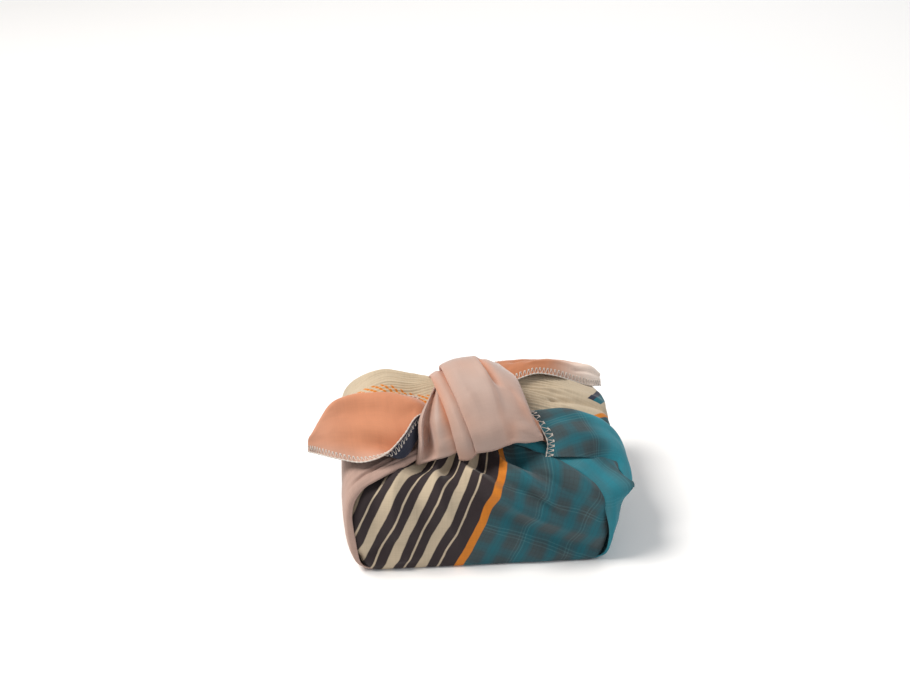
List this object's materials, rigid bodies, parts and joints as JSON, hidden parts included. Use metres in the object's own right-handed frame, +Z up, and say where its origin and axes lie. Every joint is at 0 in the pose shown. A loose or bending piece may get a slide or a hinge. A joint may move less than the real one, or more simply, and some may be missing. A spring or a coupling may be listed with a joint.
{
  "type": "furoshiki wrap",
  "caption": "Square printed cotton cloth wrapped round a lunch-box-sized bundle and tied in a broad knot on top, with two ears and a loose corner.",
  "frame": {"origin": "centre of the bundle's box on the surface it stands on", "axes": "+X along the bundle, from the long left ear to the loose corner, -Y to the smooth front under the knot's lip, +Z up"},
  "size_m": [0.1994, 0.123, 0.1025],
  "materials": {
    "furoshiki_wrap": "thin plain-weave printed cotton, matt with a slight sheen, white overlocked edge"
  },
  "bodies": {
    "root": {"furoshiki_wrap": "furoshiki_wrap"}
  },
  "joints": []
}
